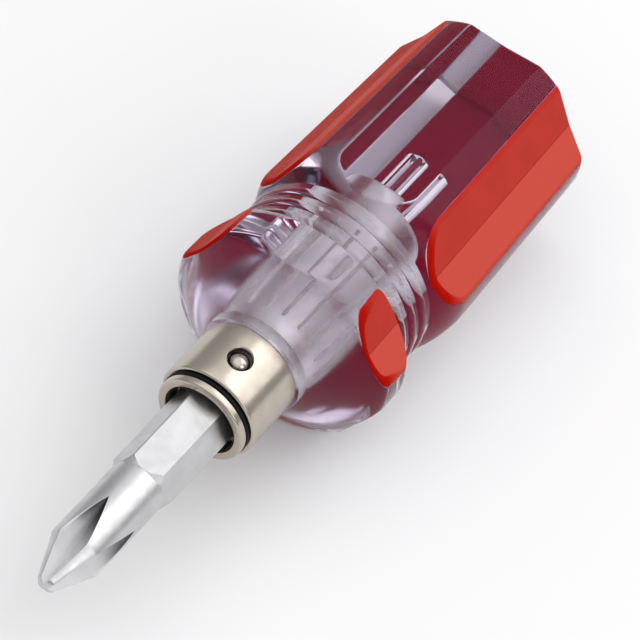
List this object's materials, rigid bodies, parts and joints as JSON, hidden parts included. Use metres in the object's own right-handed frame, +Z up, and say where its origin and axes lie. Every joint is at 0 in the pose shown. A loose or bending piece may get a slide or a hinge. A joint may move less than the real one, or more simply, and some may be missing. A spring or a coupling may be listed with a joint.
{
  "type": "pocket screwdriver",
  "caption": "Short pocket screwdriver with a fat clear fluted handle, red grip strips, a plated ball-catch holder and a reversible bit with a cross-point and a flat blade.",
  "frame": {"origin": "centre of the handle's flat back face", "axes": "+X along the driver's axis towards the tip of the bit in use; +Z up as the tool lies on a table on its red strip; +Y to the side"},
  "size_m": [0.08, 0.026, 0.0246],
  "materials": {
    "clear_plastic": "polished clear moulding",
    "red_plastic": "smooth satin",
    "nickel_plate": "bright nickel plate",
    "bit_steel": "satin chrome plate",
    "tube_steel": "turned steel",
    "spring_steel": "tempered strip",
    "ball_steel": "polished",
    "black_rubber": "matt"
  },
  "bodies": {
    "driver": {"handle_body": "clear_plastic", "barrel_strip_right": "red_plastic", "barrel_strip_left": "red_plastic", "barrel_strip_under": "red_plastic", "bulb_strip_right": "red_plastic", "bulb_strip_left": "red_plastic", "bulb_strip_under": "red_plastic", "holder_tube": "tube_steel", "outer_sleeve": "nickel_plate", "front_collar": "nickel_plate", "seal_ring": "black_rubber"},
    "ball_catch": {"detent_ball": "ball_steel", "ball_spring": "spring_steel"},
    "reversible_bit": {"bit": "bit_steel"}
  },
  "joints": [
    {"name": "bit_pull", "type": "slide", "parent": "driver", "child": "reversible_bit", "axis": [1, 0, 0], "range_m": [0, 0.03]},
    {"name": "ball_lift", "type": "slide", "parent": "driver", "child": "ball_catch", "axis": [0, 0.1132, 0.9936], "range_m": [0, 0.00025], "stiffness_N_per_m": 60, "springref_m": -0.0005}
  ]
}
